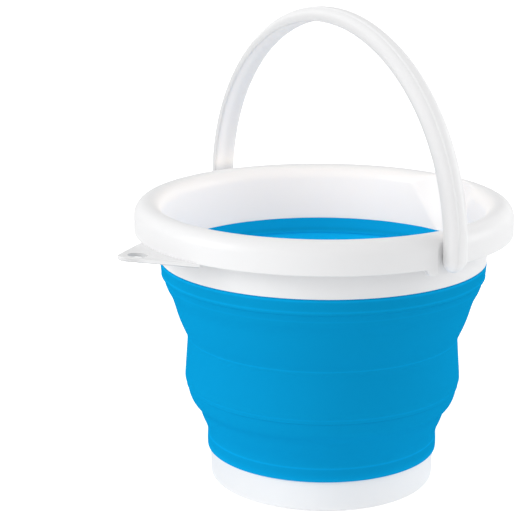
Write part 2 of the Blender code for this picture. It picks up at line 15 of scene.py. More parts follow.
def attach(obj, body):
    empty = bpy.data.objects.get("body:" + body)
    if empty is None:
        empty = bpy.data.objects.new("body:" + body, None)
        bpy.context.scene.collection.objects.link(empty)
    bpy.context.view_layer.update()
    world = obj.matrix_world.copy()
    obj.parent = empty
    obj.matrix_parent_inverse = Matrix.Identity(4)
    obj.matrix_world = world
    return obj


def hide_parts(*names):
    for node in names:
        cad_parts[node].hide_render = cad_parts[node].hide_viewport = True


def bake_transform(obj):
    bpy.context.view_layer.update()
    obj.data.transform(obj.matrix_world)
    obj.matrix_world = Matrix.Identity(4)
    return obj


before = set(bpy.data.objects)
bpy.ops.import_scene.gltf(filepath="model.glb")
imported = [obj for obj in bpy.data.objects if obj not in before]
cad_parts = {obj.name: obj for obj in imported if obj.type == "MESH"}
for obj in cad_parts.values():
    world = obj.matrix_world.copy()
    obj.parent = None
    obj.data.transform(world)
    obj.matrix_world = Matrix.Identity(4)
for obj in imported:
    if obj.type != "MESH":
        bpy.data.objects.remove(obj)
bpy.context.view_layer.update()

# Levels
RIM_TOP = 0.2400
ROLL_RADIUS = 0.0117
SKIRT_EDGE = 0.2147
COLLAR_EDGE = 0.1908
COLLAR_INNER_EDGE = 0.1925
BASE_TOP = 0.0270
PIVOT_HEIGHT = 0.2210
PIVOT_OFFSET = 0.0055

# Rim frame
RIM_RADIUS = 0.1570
RIM_WALL = 0.0025
COLLAR_RADIUS = 0.1360
COLLAR_INNER = 0.1324
EDGE_ROUND = 0.0007
ROLL_MIDDLE = (RIM_RADIUS - ROLL_RADIUS, RIM_TOP - ROLL_RADIUS)

# Pads that reach below the skirt and carry the bail, each with a soft recess for the bail's foot
PAD_HALF = 0.0180
PAD_BACK = 0.1508
PAD_DROP = 0.0053
PAD_CORNER = 0.0036
PAD_SIDE_ROUND = 0.0007
PAD_TOP = 0.2334
PAD_TOP_BLEND = 0.0012
PAD_STRETCH = 0.0093
RECESS_DEPTH = 0.0022
RECESS_FLAT = 0.0100
RECESS_HALF = 0.0152
RECESS_ROUND = 0.0008
BORE_RADIUS = 0.0050
BORE_LENGTH = 0.0120

# Pouring spout: a channel pressed into the inner wall, which opens fast above its foot
SPOUT_DEPTH = 0.0115
SPOUT_RADIUS = 0.0640
SPOUT_FOOT_RADIUS = 0.0012
SPOUT_OPENING_POWER = 0.45
SPOUT_HEIGHT = 0.0480
SPOUT_WALL = 0.0022
SPOUT_CREASE = 0.0026

# Hanging tab
TAB_TIP = -0.1870
TAB_TIP_RADIUS = 0.0090
TAB_HALF_ANGLE = math.radians(16.3)
TAB_ROOT = 0.15575
TAB_WALL = 0.0033
TAB_TILT = math.radians(4.7)
TAB_ROOT_UNDER = 0.2123
TAB_HOLE = -0.1790
TAB_HOLE_RADIUS = 0.0077
TAB_EDGE_ROUND = 0.0008
# The lower edge's round, as lifts over the underside
TAB_EDGE_BAND = (0.05 * TAB_EDGE_ROUND, 0.95 * TAB_EDGE_ROUND)

# Base cup
BASE_RADIUS = 0.0951
BASE_DRAFT = 0.0005
BASE_WALL = 0.0025
BASE_EDGE_ROUND = 0.0003
FLOOR_WALL = 0.0025
FOOT_ROUND = 0.0040
FLOOR_ROUND = 0.0060
GRIP_INNER_RADIUS = 0.0520
GRIP_OUTER_RADIUS = 0.0800
GRIP_HALF_ANGLE = math.radians(40)
GRIP_HEIGHT = 0.0160
GRIP_WALL = 0.0022
GRIP_DRAFT = 0.0020
GRIP_BLEND = 0.0016
GRIP_CORNER = 0.0060

# Bail
BAIL_HALF = 0.0106
BAIL_DEPTH = 0.0110
BAIL_EDGE_DEPTH = 0.0015
BAIL_EDGE_REACH = 0.0019
BAIL_ROUNDNESS = 2.1
BAIL_INNER = 0.1573
BAIL_LEG = 0.0058
BAIL_STRETCH = 0.0072
BAIL_FADE = 0.0260
RIB_HALF = 0.0029
RIB_SLOPE = 0.0015
RIB_RISE = 0.0008
HOLLOW_DEPTH = 0.0016
BOSS_RADIUS = 0.0085
BOSS_ROOT = -0.0030
BOSS_HEIGHT = 0.0019
PEG_SHANK = 0.0047
PEG_SEAT = 0.0068
PEG_HEAD_RADIUS = 0.0064
PEG_HEAD_RIM = 0.0009
PEG_HEAD_LENGTH = 0.0034
PEG_TIP_RADIUS = 0.0042
PEG_ROUND = 0.0003
PEG_CORE = 0.0001

# Bellows, outer side, from the collar down: (height, radius). It is smooth between the points of a stretch
# and has a crease where one stretch ends and the next begins.
CUFF_BAND = ((0.1900, 0.13605), (0.1870, 0.13580), (0.1835, 0.13545), (0.1805, 0.13515), (0.1785, 0.13515))
CUFF_BEAD = ((0.1785, 0.13515), (0.1781, 0.13520), (0.1776, 0.13495), (0.1774, 0.13440))
UPPER_WEB = (
    (0.1774, 0.13440), (0.1763, 0.13375), (0.1741, 0.13290), (0.1712, 0.13205), (0.1689, 0.13125),
    (0.1663, 0.13010), (0.1637, 0.12870), (0.1610, 0.12730), (0.1583, 0.12615), (0.1557, 0.12530),
    (0.1530, 0.12445), (0.1478, 0.12290), (0.1424, 0.12120), (0.1371, 0.11915), (0.1318, 0.11685),
    (0.1280, 0.11510), (0.1256, 0.11415), (0.1246, 0.11395),
)
WAIST_BEAD = ((0.1246, 0.11395), (0.1242, 0.11402), (0.1237, 0.11400), (0.1234, 0.11385))
MIDDLE_RING = (
    (0.1234, 0.11385), (0.1210, 0.11375), (0.1184, 0.11395), (0.1131, 0.11430), (0.1078, 0.11470),
    (0.1025, 0.11510), (0.0973, 0.11550), (0.0920, 0.11585), (0.0895, 0.11598), (0.0880, 0.11592),
    (0.0868, 0.11566), (0.0857, 0.11532), (0.0845, 0.11502), (0.0834, 0.11480),
)
BULGE_BEAD = ((0.0834, 0.11480), (0.0830, 0.11484), (0.0825, 0.11474), (0.0822, 0.11440))
LOWER_WEB = (
    (0.0834, 0.11420), (0.0822, 0.11420), (0.0812, 0.11408), (0.0785, 0.11345), (0.0758, 0.11280),
    (0.0731, 0.11185), (0.0704, 0.11060), (0.0676, 0.10870), (0.0648, 0.10630), (0.0621, 0.10455),
    (0.0593, 0.10340), (0.0565, 0.10245), (0.0537, 0.10140), (0.0510, 0.10020), (0.0483, 0.09905),
    (0.0455, 0.09805), (0.0432, 0.09750), (0.0416, 0.09730),
)
LOWER_BEAD = ((0.0416, 0.09730), (0.0411, 0.09735), (0.0406, 0.09722))
LOWER_BAND = ((0.0406, 0.09722), (0.0385, 0.09712), (0.0355, 0.09733), (0.0320, 0.09742), (0.0276, 0.09730))

# Where the bellows seats on the stiff parts and stops just short of them, as (radius, height). The upper
# cuff's outer edge is (radius, drop below the collar).
SEAT_GAP = 0.00005
CUFF_EDGE = ((0.13420, 0.0000), (0.13550, 0.0000), (0.13590, 0.0002), (0.13605, 0.0005))
TONGUE_TOP = COLLAR_INNER_EDGE - SEAT_GAP
CUFF_TONGUE = ((0.13420, TONGUE_TOP), (0.13290, TONGUE_TOP), (COLLAR_INNER, 0.19200))
CUFF_INNER_FOOT = 0.1801
LOWER_EDGE = ((0.09722, 0.02725), (0.09700, BASE_TOP + SEAT_GAP))
LOWER_SEAT = ((0.09260, BASE_TOP + SEAT_GAP), (0.09260, 0.0320))
LOWER_INNER_FOOT = 0.0402

# Bellows wall: (height, thickness)
UPPER_WALLS = (
    (0.1930, 0.0036), (0.1800, 0.0030), (0.1768, 0.0021), (0.1740, 0.0015), (0.1700, 0.0008),
    (0.1660, 0.0012), (0.1600, 0.0021), (0.1500, 0.0023), (0.1350, 0.0021), (0.1300, 0.0010),
    (0.1270, 0.0010), (0.1240, 0.0018), (0.1200, 0.0023), (0.0822, 0.0023),
)
LOWER_WALLS = (
    (0.0834, 0.0012), (0.0822, 0.0012), (0.0805, 0.0020), (0.0770, 0.0018), (0.0740, 0.0012),
    (0.0715, 0.0008), (0.0690, 0.0012), (0.0650, 0.0020), (0.0560, 0.0023), (0.0500, 0.0021),
    (0.0460, 0.0010), (0.0435, 0.0010), (0.0410, 0.0020), (0.0400, 0.0021),
)

# The lip inside, over the cup's edge: (height, radius), from the bellows wall round to the cup
LIP = (
    (0.0400, 0.09510), (0.0388, 0.09480), (0.0374, 0.09440), (0.0366, 0.09370), (0.0368, 0.09290),
    (0.0378, 0.09215), (0.0384, 0.09130), (0.0383, 0.09040), (0.0374, 0.08965), (0.0358, 0.08925),
    (0.0336, 0.08920), (0.0324, 0.08935), (0.0320, 0.08985),
)

# Tones of painted light and shade: the share by which a place is lighter than the rest of its plastic, or
# darker where it is negative.
# Painted highlight and shade lines on the bellows' outer side, where its ridges and creases meet the light:
# (height, half width, tone)
PAINTED_RIDGE_LINES = (
    (0.1891, 0.0012, 0.28), (0.1801, 0.0012, 0.19), (0.1773, 0.0008, -0.05), (0.1717, 0.0009, 0.07),
    (0.1257, 0.0010, 0.15), (0.0859, 0.0008, 0.12), (0.0835, 0.0005, 0.05), (0.0822, 0.0006, -0.10),
    (0.0385, 0.0012, 0.21), (0.0285, 0.0050, 0.12),
)
# Painted light on the bellows' inner side, which lifts its shade inside the bucket: (height, tone)
INSIDE_PAINTED_LIGHT = (
    (0.1930, 0.15), (0.1850, 0.15), (0.1824, 0.04), (0.1806, 0.14), (0.1780, 0.34), (0.1755, 0.50),
    (0.1640, 0.45), (0.1560, 0.25), (0.1450, 0.00),
)
# A place that lies no deeper than this in the wall counts as outer side
INSIDE_MARGIN = 0.0003
# Painted light and shade on the bail, darkest at its edge towards the tab, which faces the left light: (place
# across it as a share of its half width, from the tab's side, tone)
BAIL_PAINTED_SHADE = (
    (-1.01, -0.26), (-0.93, -0.17), (-0.84, -0.06), (-0.75, 0.00), (-0.6, 0.04), (0.2, 0.04), (1.01, -0.06),
)
BAIL_EDGE_SHARE = -0.75
# Painted shade lines on the rib's slopes
RIB_PAINTED_SHADE = -0.04
# Painted shade on the tab: in its hole, on its lower edge and on the side of its tip
TAB_HOLE_SHADE = -0.3
TAB_EDGE_SHADE = -0.35
TAB_TIP_SHADE = -0.16
# The white side that faces the left light
BRIGHT_SIDE = math.radians(165)
BRIGHT_TONE = -0.13
BRIGHT_POWER = 4

# Relief of the moulded grain
GRAIN_STRENGTH = 0.35
GRAIN_RELIEF = 0.0001

# Facets
RING_COLUMNS = 240
BELLOWS_COLUMNS = 216
PEG_COLUMNS = 48
BORE_COLUMNS = 64
ARC_STEPS = 18
CURVE_STEPS = 14
LIP_STEPS = 3
BAIL_STATIONS = 120
BAIL_LEG_STATIONS = 5
BAIL_SECTION_STEPS = 22
BAIL_FOOT_STEPS = 36
# Distances between points down the bellows, away from the painted lines and on them
COARSE = 0.0010
FINE = 0.0003
MERGE_DISTANCE = 1e-6
NO_AREA = 1e-14
SHARP_ANGLE = math.radians(35)
TAB_SHARP_ANGLE = math.radians(60)

# Closer columns, in degrees, and closer rings of the floor: (first, step, count)
SPOUT_COLUMNS = (-25.2, 0.35, 145)
PAD_COLUMNS = (2.4, 0.13, 42)
GRIP_COLUMNS = (32, 0.3, 34)
FLOOR_RINGS = ((0.0040, 0.0040, 12), (0.0500, 0.0004, 20), (0.0580, 0.0015, 10), (0.0730, 0.0004, 22))

# Stage
CAMERA_LENS = 119.6
CAMERA_SENSOR = 36
CAMERA_PLACE = (-0.8371, -1.1208, 0.5493)
CAMERA_TURN = (math.radians(75.47), 0, math.radians(-34.6))
CAMERA_CLIP = (0.05, 50)
LIGHT_TARGET = (0, 0, 0.15)
# (name, place, size, power)
LIGHTS = (
    ("front", (-1.25, -1.75, 0.9), 1.3, 0.8),
    ("left", (-2.0, 0.55, 0.9), 1.4, 19),
    ("right", (1.8, -1.0, 0.8), 1.4, 11),
    ("right_rear", (1.8, 0.5, 0.8), 1.4, 3),
)
BULB_PLACE = (0, 0, 0.205)
BULB_RADIUS = 0.04
BULB_POWER = 0.26
BULB_COLOR = (1.0, 0.73, 0.48)
WORLD_LIGHT = 0.68
FLOOR_HALF = 12
FLOOR_COLOR = (0.90, 0.90, 0.90)
# Distances from the object between which the floor's two glows change, and their strengths there
GLOW_REACH = (0.25, 1.2)
GLOW_STRENGTH = (0.40, 1.0)
FILL_REACH = (0.12, 0.50)
FILL_STRENGTH = (0.18, 0.0)


# Numbers and curves

def spaced(first, step, count):
    return [first + step * i for i in range(count)]


def smoothstep(low, high, value):
    share = min(1, max(0, (value - low) / (high - low)))
    return share * share * (3 - 2 * share)


def soft_max(a, b, reach):
    """The larger of two lengths, with a fillet where they are within reach of each other."""
    share = min(1, max(0, 0.5 + (b - a) / (2 * reach)))
    return a + (b - a) * share + reach * share * (1 - share)


def arc(middle, radius, start, end, steps=ARC_STEPS):
    turns = [math.radians(start + (end - start) * i / steps) for i in range(steps + 1)]
    return [(middle[0] + radius * math.cos(a), middle[1] + radius * math.sin(a)) for a in turns]


def line(start, end, steps):
    """Points after the start, up to the end."""
    return [tuple(a + (b - a) * i / steps for a, b in zip(start, end)) for i in range(1, steps + 1)]


def curve_through(points, steps):
    """A smooth curve through (height, radius) points, which starts at the first and ends at the last."""
    made = []
    for i in range(len(points) - 1):
        before = points[max(0, i - 1)]
        start, end = points[i], points[i + 1]
        after = points[min(len(points) - 1, i + 2)]
        for step in range(steps):
            t = step / steps
            place = []
            for p0, p1, p2, p3 in zip(before, start, end, after):
                bend = 2 * p1 + (p2 - p0) * t + (2 * p0 - 5 * p1 + 4 * p2 - p3) * t**2
                place.append((bend + (3 * p1 - p0 - 3 * p2 + p3) * t**3) / 2)
            made.append(tuple(place))
    made.append(points[-1])
    return made


def between(table, height):
    """The value of a (height, value) table, read smoothly between its rows."""
    for (high, upper), (low, lower) in zip(table, table[1:]):
        if height >= low:
            return lower + (upper - lower) * smoothstep(low, high, min(height, high))
    return table[-1][1]


def column_angles(count, extra):
    """Evenly spaced angles round the axis and the extra ones, which are given in degrees."""
    angles = {round(360 * i / count, 3) for i in range(count)}
    angles |= {round(angle, 3) % 360 for angle in extra}
    return [math.radians(angle) for angle in sorted(angles)]


# Meshes

def finish_mesh(bm, name):
    bmesh.ops.remove_doubles(bm, verts=bm.verts, dist=MERGE_DISTANCE)
    bmesh.ops.recalc_face_normals(bm, faces=bm.faces)
    mesh = bpy.data.meshes.new(name)
    bm.to_mesh(mesh)
    bm.free()
    for face in mesh.polygons:
        face.use_smooth = True
    mesh.set_sharp_from_angle(angle=SHARP_ANGLE)
    return mesh


def write_painted_light(mesh, tone_at):
    """Writes a tone of painted light and shade on each vertex, so that it stays on the wall when the bucket
    folds.
    """
    tones = mesh.attributes.new("tone", "FLOAT", "POINT")
    for vertex, tone in zip(mesh.vertices, tones.data):
        tone.value = tone_at(vertex)


def add_piece(name, mesh, material, body):
    piece = bpy.data.objects.new(name, mesh)
    bpy.context.scene.collection.objects.link(piece)
    mesh.materials.append(material)
    if body:
        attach(piece, body)
    return piece


def skin(bm, columns, closed=True, closed_profile=True):
    """Faces over columns of points, each column joined to the next."""
    grid = [[bm.verts.new(point) for point in column] for column in columns]
    count = len(grid[0])
    pairs = list(zip(grid, grid[1:])) + ([(grid[-1], grid[0])] if closed else [])
    for left, right in pairs:
        for i in range(count if closed_profile else count - 1):
            j = (i + 1) % count
            bm.faces.new((left[i], right[i], right[j], left[j]))
    return grid


def turned(name, outline, columns):
    """Turns a closed outline of (radius, height) points round the Z axis."""
    bm = bmesh.new()
    turns = [math.tau * i / columns for i in range(columns)]
    skin(bm, [[(r * math.cos(a), r * math.sin(a), z) for r, z in outline] for a in turns])
    return finish_mesh(bm, name)


def cut(piece, cutters):
    """Cuts the given meshes out of a piece for good."""
    for mesh, place in cutters:
        tool = bpy.data.objects.new("cutter", mesh)
        bpy.context.scene.collection.objects.link(tool)
        tool.matrix_world = place
        step = piece.modifiers.new("cut", "BOOLEAN")
        step.operation = "DIFFERENCE"
        step.solver = "EXACT"
        step.object = tool
        bpy.context.view_layer.update()
        evaluated = piece.evaluated_get(bpy.context.evaluated_depsgraph_get())
        made = bpy.data.meshes.new_from_object(evaluated)
        piece.modifiers.clear()
        piece.data = made
        bpy.data.objects.remove(tool)


# Rim frame

def rim_outline():
    """(radius, height, zone) round the rim's wall: outer skin, hem inside the skirt, rear, and front."""
    crest = RIM_TOP - ROLL_RADIUS
    outer = arc(ROLL_MIDDLE, ROLL_RADIUS, 90, 0)
    outer += line(outer[-1], (RIM_RADIUS, SKIRT_EDGE + EDGE_ROUND), steps=10)
    corner = (RIM_RADIUS - EDGE_ROUND, SKIRT_EDGE + EDGE_ROUND)
    outer += arc(corner, EDGE_ROUND, 0, -90, steps=4)[1:]
    inside = RIM_RADIUS - RIM_WALL
    corner = (inside + EDGE_ROUND, SKIRT_EDGE + EDGE_ROUND)
    hem = arc(corner, EDGE_ROUND, 270, 180, steps=4)
    hem += line(hem[-1], (inside, crest), steps=8)
    rear = arc(ROLL_MIDDLE, ROLL_RADIUS - RIM_WALL, 0, 180)[1:]
    rear += line(rear[-1], (COLLAR_RADIUS, COLLAR_EDGE + EDGE_ROUND / 2), steps=14)
    rear += [(COLLAR_RADIUS - EDGE_ROUND / 2, COLLAR_EDGE)]
    middle = (COLLAR_RADIUS + COLLAR_INNER) / 2
    front = [(middle, COLLAR_EDGE), (middle, COLLAR_INNER_EDGE)]
    front += [(COLLAR_INNER + EDGE_ROUND / 2, COLLAR_INNER_EDGE)]
    front += [(COLLAR_INNER, COLLAR_INNER_EDGE + EDGE_ROUND / 2)]
    front += line(front[-1], (ROLL_MIDDLE[0] - ROLL_RADIUS, crest), steps=26)
    front += arc(ROLL_MIDDLE, ROLL_RADIUS, 180, 90)[1:-1]
    zones = (("outer", outer), ("hem", hem), ("rear", rear), ("front", front))
    return [(radius, height, zone) for zone, points in zones for radius, height in points]


def channel_radius(angle, height, grow):
    """How far the spout's channel reaches from the bucket's axis, or 0 where it isn't met."""
    share = (height - RIM_TOP + SPOUT_HEIGHT) / SPOUT_HEIGHT
    if share < 0:
        return 0
    radius = SPOUT_FOOT_RADIUS + (SPOUT_RADIUS - SPOUT_FOOT_RADIUS) * share**SPOUT_OPENING_POWER
    middle = COLLAR_INNER + SPOUT_DEPTH * share + SPOUT_FOOT_RADIUS * (1 - share) - radius
    room = (radius + grow) ** 2 - (middle * math.sin(angle)) ** 2
    return middle * math.cos(angle) + math.sqrt(room) if room > 0 and math.cos(angle) > 0 else 0


def rim_point(radius, height, zone, angle):
    """A point of the rim's wall, pushed out by the spout and drawn onto the pads."""
    if zone in ("outer", "front"):
        radius = soft_max(radius, channel_radius(angle, height, 0), SPOUT_CREASE)
    elif zone == "rear":
        radius = soft_max(radius, channel_radius(angle, height, SPOUT_WALL), SPOUT_CREASE)
    across = RIM_RADIUS * math.cos(angle)
    if abs(across) < 2 * PAD_HALF and zone != "front":
        flat = 1 / abs(math.sin(angle))
        if zone == "outer":
            depth = RECESS_DEPTH * (1 - smoothstep(RECESS_FLAT, RECESS_HALF, abs(across - PIVOT_OFFSET)))
            radius = -soft_max(-radius, (depth - RIM_RADIUS) * flat, RECESS_ROUND)
        elif radius > ROLL_MIDDLE[0]:
            side = 1 - smoothstep(PAD_HALF - PAD_SIDE_ROUND, PAD_HALF + PAD_SIDE_ROUND, abs(across))
            upper = 1 - smoothstep(PAD_TOP - PAD_TOP_BLEND, PAD_TOP, height)
            radius += min(0, PAD_BACK * flat - radius) * side * upper
        corner = min(1, max(0, (PAD_HALF - abs(across)) / PAD_CORNER))
        stretch = min(1, max(0, (SKIRT_EDGE + PAD_STRETCH - height) / PAD_STRETCH))
        if zone != "rear":
            height -= PAD_DROP * math.sin(corner * math.pi / 2) * stretch
    return (radius * math.cos(angle), radius * math.sin(angle), height)


def rim_angles():
    """Columns of the rim, closer together at the spout and at the sides of the pads and recesses."""
    extra = spaced(*SPOUT_COLUMNS)
    for middle in (90, 270):
        for side in (-1, 1):
            extra += [middle + side * offset for offset in spaced(*PAD_COLUMNS)]
    return column_angles(RING_COLUMNS, extra)


def bright_side_tone(vertex):
    """Darker where the wall faces the left light, so that its outline shows on the white floor."""
    facing = vertex.normal.x * math.cos(BRIGHT_SIDE) + vertex.normal.y * math.sin(BRIGHT_SIDE)
    return BRIGHT_TONE * max(0, facing) ** BRIGHT_POWER


def make_rim(material):
    outline = rim_outline()
    bm = bmesh.new()
    skin(bm, [[rim_point(*point, angle) for point in outline] for angle in rim_angles()])
    rim = add_piece("rim_shell", finish_mesh(bm, "rim_shell"), material, "rim")
    bore = bmesh.new()
    bmesh.ops.create_cone(
        bore, cap_ends=True, segments=BORE_COLUMNS,
        radius1=BORE_RADIUS, radius2=BORE_RADIUS, depth=BORE_LENGTH,
    )
    bore_mesh = finish_mesh(bore, "bore")
    lying = Matrix.Rotation(math.pi / 2, 4, "X")
    places = [Matrix.Translation((PIVOT_OFFSET, side * PAD_BACK, PIVOT_HEIGHT)) @ lying for side in (-1, 1)]
    cut(rim, [(bore_mesh, place) for place in places])
    write_painted_light(rim.data, bright_side_tone)
    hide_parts("rim_frame")


def tab_under(x):
    """The height of the tab's underside."""
    return TAB_ROOT_UNDER - (x + RIM_RADIUS) * math.tan(TAB_TILT)


def tab_outline():
    """Points round the tab: its tip, one side, the root, and the other side."""
    tip = Vector((TAB_TIP, 0))
    corner = Vector((-TAB_ROOT * math.cos(TAB_HALF_ANGLE), TAB_ROOT * math.sin(TAB_HALF_ANGLE)))
    away = corner - tip
    touch = math.degrees(math.atan2(away.y, away.x) + math.acos(TAB_TIP_RADIUS / away.length))
    root = math.degrees(TAB_HALF_ANGLE)
    near_tip = arc(tip, TAB_TIP_RADIUS, touch, 360 - touch, steps=24)
    root_arc = arc((0, 0), TAB_ROOT, 180 + root, 180 - root, steps=16)
    loop = near_tip + line(near_tip[-1], root_arc[0], steps=8)[:-1] + root_arc
    return loop + line(root_arc[-1], near_tip[0], steps=8)[:-1]


def tab_painted_shade(vertex):
    """Painted shade: darker in the hole, on the lower edge and on the side of the tip."""
    x, y, z = vertex.co
    lift = z - tab_under(x)
    if math.hypot(x - TAB_HOLE, y) < TAB_HOLE_RADIUS + TAB_EDGE_ROUND / 2:
        return TAB_HOLE_SHADE
    if TAB_EDGE_BAND[0] < lift < TAB_EDGE_BAND[1]:
        return TAB_EDGE_SHADE
    if x < TAB_TIP and TAB_EDGE_ROUND / 2 < lift < TAB_WALL - TAB_EDGE_ROUND / 2:
        return TAB_TIP_SHADE
    return 0


def make_tab(material):
    outer = tab_outline()
    hole = []
    for x, y in outer:
        a = math.atan2(y, x - TAB_HOLE)
        hole.append((TAB_HOLE + TAB_HOLE_RADIUS * math.cos(a), TAB_HOLE_RADIUS * math.sin(a)))
    bm = bmesh.new()
    loops = []
    for points, lift in ((outer, 0), (outer, TAB_WALL), (hole, TAB_WALL), (hole, 0)):
        loops.append([bm.verts.new((x, y, tab_under(x) + lift)) for x, y in points])
    for first, second in zip(loops, loops[1:] + loops[:1]):
        for i in range(len(outer)):
            j = (i + 1) % len(outer)
            bm.faces.new((first[i], first[j], second[j], second[i]))
    bmesh.ops.recalc_face_normals(bm, faces=bm.faces)
    edges = [edge for edge in bm.edges if edge.calc_face_angle(0) > TAB_SHARP_ANGLE]
    bmesh.ops.bevel(bm, geom=edges, offset=TAB_EDGE_ROUND, segments=4, profile=0.5, affect="EDGES")
    mesh = finish_mesh(bm, "hanging_tab")
    write_painted_light(mesh, tab_painted_shade)
    tab = add_piece("hanging_tab", mesh, material, "rim")


# Bellows

def painted_line_tone(height):
    """The painted highlight and shade of the bellows' outer side at this height."""
    return sum(tone * max(0, 1 - abs(height - middle) / reach) for middle, reach, tone in PAINTED_RIDGE_LINES)


def bellows_outer(stretches):
    """(radius, height) points down the outer side, closer together where a painted line runs."""
    points = []
    for stretch in stretches:
        made = curve_through(stretch, CURVE_STEPS)
        kept = [made[0]]
        for point in made[1:-1]:
            if math.dist(point, kept[-1]) > (FINE if painted_line_tone(point[0]) else COARSE):
                kept.append(point)
        points += (kept + [made[-1]])[1 if points else 0:]
    return [(radius, height) for height, radius in points]


def write_bellows_painted_light(mesh, outer):
    """Writes the painted highlight and shade lines on the outer side, and the painted light on the inner
    side.
    """
    heights = [(height, radius) for radius, height in outer]

    def tone_at(vertex):
        x, y, z = vertex.co
        outside = math.hypot(x, y) > between(heights, z) - INSIDE_MARGIN
        return painted_line_tone(z) if outside else between(INSIDE_PAINTED_LIGHT, z)

    write_painted_light(mesh, tone_at)


def make_upper_bellows(material):
    outer = bellows_outer((CUFF_BAND, CUFF_BEAD, UPPER_WEB, WAIST_BEAD, MIDDLE_RING, BULGE_BEAD))
    edge = [(radius, COLLAR_EDGE - SEAT_GAP - drop) for radius, drop in CUFF_EDGE]
    inner = list(CUFF_TONGUE)
    for radius, height in outer:
        beside_collar = height > CUFF_INNER_FOOT
        inner.append((COLLAR_INNER if beside_collar else radius - between(UPPER_WALLS, height), height))
    mesh = turned("bellows_upper", edge + outer + inner[::-1], BELLOWS_COLUMNS)
    write_bellows_painted_light(mesh, outer)
    bellows = add_piece("bellows_upper", mesh, material, None)
    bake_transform(bellows)
    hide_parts("bellows_upper_cuff", "bellows_upper_web", "bellows_middle_ring")


def make_lower_bellows(material):
    outer = bellows_outer((LOWER_WEB, LOWER_BEAD, LOWER_BAND))
    outer += LOWER_EDGE
    inner = [
        (radius - between(LOWER_WALLS, height), height) for radius, height in outer
        if height > LOWER_INNER_FOOT
    ]
    lip = [(radius, height) for height, radius in curve_through(LIP, LIP_STEPS)]
    outline = [*outer, *LOWER_SEAT, *reversed(lip), *reversed(inner)]
    mesh = turned("bellows_lower", outline, BELLOWS_COLUMNS)
    write_bellows_painted_light(mesh, outer)
    bellows = add_piece("bellows_lower", mesh, material, None)
    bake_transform(bellows)
    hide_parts("bellows_middle_ring", "bellows_lower_web", "bellows_lower_cuff")


# Base cup

def grip_lift(radius, angle, inset, blend):
    """How high the finger grip stands at this place of the floor, as a share of its height."""
    across = min(radius - GRIP_INNER_RADIUS, GRIP_OUTER_RADIUS - radius)
    away = abs(math.remainder(angle - math.pi, math.tau))
    along = (GRIP_HALF_ANGLE - away) * radius
    inside = min(across, along)
    if across < GRIP_CORNER and along < GRIP_CORNER:
        inside = GRIP_CORNER - math.hypot(GRIP_CORNER - across, GRIP_CORNER - along)
    return smoothstep(inset - blend / 2, inset + GRIP_DRAFT + blend / 2, inside)


def floor_radii():
    """Rings of the floor, closer together at the sides of the grip."""
    return sorted({round(radius, 5) for rings in FLOOR_RINGS for radius in spaced(*rings)})


def cup_angles():
    """Columns of the cup, closer together at the ends of the grip."""
    extra = [180 + side * offset for side in (-1, 1) for offset in spaced(*GRIP_COLUMNS)]
    return column_angles(BELLOWS_COLUMNS, extra)


def make_base_cup(material):
    inner = BASE_RADIUS - BASE_WALL
    floor_round = (inner - BASE_DRAFT - FLOOR_ROUND, FLOOR_WALL + FLOOR_ROUND)
    foot_round = (BASE_RADIUS - BASE_DRAFT - FOOT_ROUND, FOOT_ROUND)
    radii = floor_radii()
    bm = bmesh.new()
    columns = []
    for angle in cup_angles():
        column = []
        for radius in radii:
            lift = GRIP_HEIGHT * grip_lift(radius, angle, 0, GRIP_BLEND)
            column.append((radius, FLOOR_WALL + lift))
        column += arc(floor_round, FLOOR_ROUND, 270, 360, steps=8)
        column += line(column[-1], (inner, BASE_TOP), steps=5)
        column += [(BASE_RADIUS - BASE_EDGE_ROUND, BASE_TOP), (BASE_RADIUS, BASE_TOP - BASE_EDGE_ROUND)]
        column += line(column[-1], (BASE_RADIUS - BASE_DRAFT, FOOT_ROUND), steps=4)
        column += arc(foot_round, FOOT_ROUND, 0, -90, steps=8)[1:]
        for radius in reversed(radii):
            share = grip_lift(radius, angle, GRIP_WALL, GRIP_BLEND / 2)
            column.append((radius, (FLOOR_WALL + GRIP_HEIGHT - GRIP_WALL) * share))
        columns.append([(r * math.cos(angle), r * math.sin(angle), z) for r, z in column])
    grid = skin(bm, columns, closed_profile=False)
    for row, height in ((0, FLOOR_WALL), (-1, 0)):
        middle = bm.verts.new((0, 0, height))
        ring = [column[row] for column in grid]
        for i in range(len(ring)):
            bm.faces.new((ring[i], ring[(i + 1) % len(ring)], middle))
    cup = add_piece("base_shell", finish_mesh(bm, "base_shell"), material, "base")
    write_painted_light(cup.data, bright_side_tone)
    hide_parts("base_cup")


# Bail

def bail_offsets():
    """Half of the section: distances from the middle, closer together at the side and at the rib."""
    turns = [math.pi / 2 * i / BAIL_SECTION_STEPS for i in range(BAIL_SECTION_STEPS + 1)]
    offsets = [BAIL_HALF * math.sin(turn) for turn in turns]
    offsets += [RIB_HALF + RIB_SLOPE * (i / 4) for i in range(-1, 6)]
    return sorted({round(offset, 6) for offset in offsets})


def bail_face(offset, outer, detail):
    """How far outwards the round outer face or the inner face lies at this distance from the middle."""
    if outer:
        crown = (1 - min(1, offset / BAIL_HALF) ** BAIL_ROUNDNESS) ** (1 / BAIL_ROUNDNESS)
        rib = 1 - smoothstep(RIB_HALF, RIB_HALF + RIB_SLOPE, offset)
        return BAIL_EDGE_DEPTH + (BAIL_DEPTH - BAIL_EDGE_DEPTH) * crown + RIB_RISE * rib * detail
    edge = min(1, max(0, (offset - BAIL_HALF + BAIL_EDGE_REACH) / BAIL_EDGE_REACH))
    hollow = 1 - smoothstep(0, BAIL_HALF - BAIL_EDGE_REACH, offset)
    return BAIL_EDGE_DEPTH * (1 - math.sqrt(1 - edge**2)) + HOLLOW_DEPTH * hollow * detail


def bail_loop(detail):
    """The whole section as (sideways, outwards) points."""
    offsets = bail_offsets()
    there = [-offset for offset in offsets[::-1]] + offsets[1:]
    back = there[-2:0:-1]
    outer = [(side, bail_face(abs(side), True, detail)) for side in there]
    return outer + [(side, bail_face(abs(side), False, detail)) for side in back]


